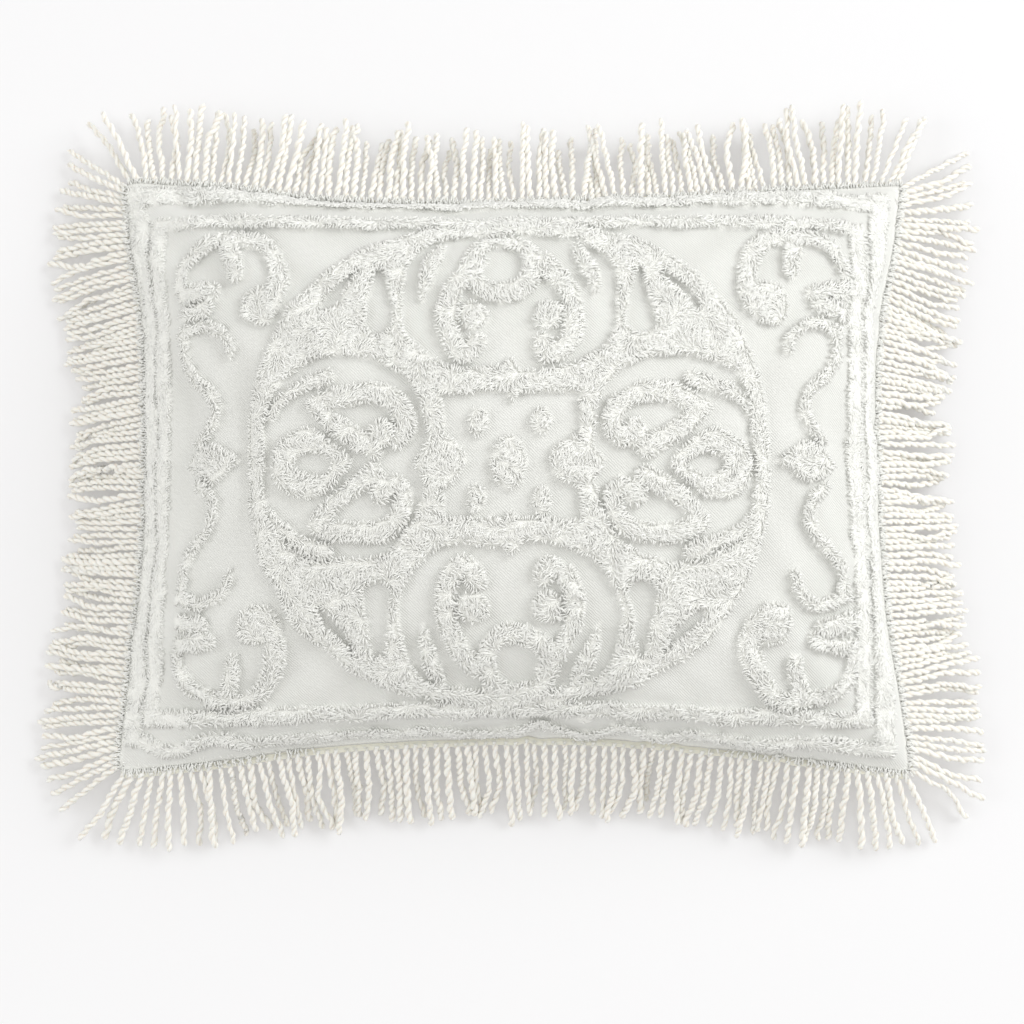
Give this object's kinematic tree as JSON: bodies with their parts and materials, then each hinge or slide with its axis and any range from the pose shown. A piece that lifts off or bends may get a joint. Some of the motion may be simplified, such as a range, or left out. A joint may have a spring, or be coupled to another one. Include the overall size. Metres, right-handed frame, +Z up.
{
  "type": "chenille pillow sham",
  "caption": "Filled rectangular cotton pillow sham lying on its back, with a crowned tufted face, drawn-in sides and a fringe of twisted cords along all four seams.",
  "frame": {"origin": "centre of the flat spot on the back, on which the filled sham lies", "axes": "+X along the long sides towards the right of the face, +Y towards the top of the face, +Z up out of the face"},
  "size_m": [0.7777, 0.6205, 0.16],
  "materials": {
    "chenille_cotton": "matte white woven cotton with cut chenille tufts",
    "fringe_cotton": "matte warm white twisted cotton cord"
  },
  "bodies": {
    "root": {"sham": "chenille_cotton", "fringe_top": "fringe_cotton", "fringe_bottom": "fringe_cotton", "fringe_left": "fringe_cotton", "fringe_right": "fringe_cotton"}
  },
  "joints": []
}
